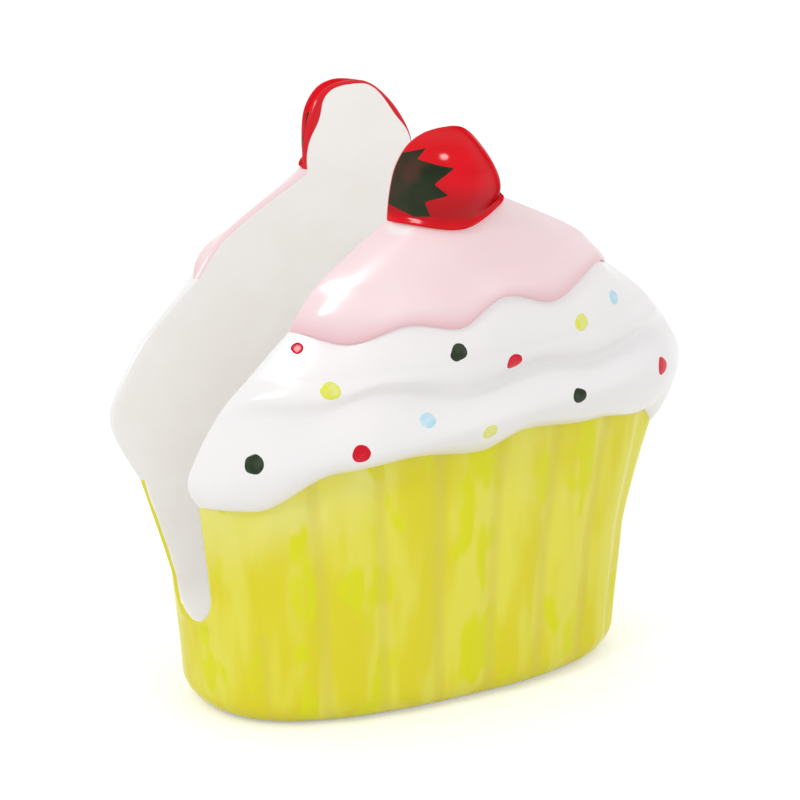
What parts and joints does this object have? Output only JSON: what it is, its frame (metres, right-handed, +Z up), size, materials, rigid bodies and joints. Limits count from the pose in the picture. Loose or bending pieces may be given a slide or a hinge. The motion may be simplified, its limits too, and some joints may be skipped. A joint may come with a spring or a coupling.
{
  "type": "ceramic napkin holder",
  "caption": "Free-standing glazed ceramic napkin holder shaped as a frosted cupcake, with a leaning-sided slot from end to end that holds folded paper napkins between its two leaves.",
  "frame": {"origin": "on the table under the middle of the foot", "axes": "+Z up, the slot runs along X, the front leaf faces -Y and the shortest side is along Y"},
  "size_m": [0.1408, 0.0766, 0.1398],
  "materials": {
    "bare_clay": "matte",
    "white_glaze": "gloss",
    "yellow_glaze": "gloss",
    "icing_glaze": "gloss",
    "pink_glaze": "gloss",
    "red_glaze": "gloss"
  },
  "bodies": {
    "root": {"base_plate": "bare_clay", "slot_liner": "white_glaze", "wrapper_front": "yellow_glaze", "wrapper_back": "yellow_glaze", "lower_icing_front": "icing_glaze", "lower_icing_back": "icing_glaze", "upper_icing_front": "icing_glaze", "upper_icing_back": "icing_glaze", "topping_front": "pink_glaze", "topping_back": "pink_glaze", "cherry_front": "red_glaze", "cherry_back": "red_glaze"}
  },
  "joints": []
}
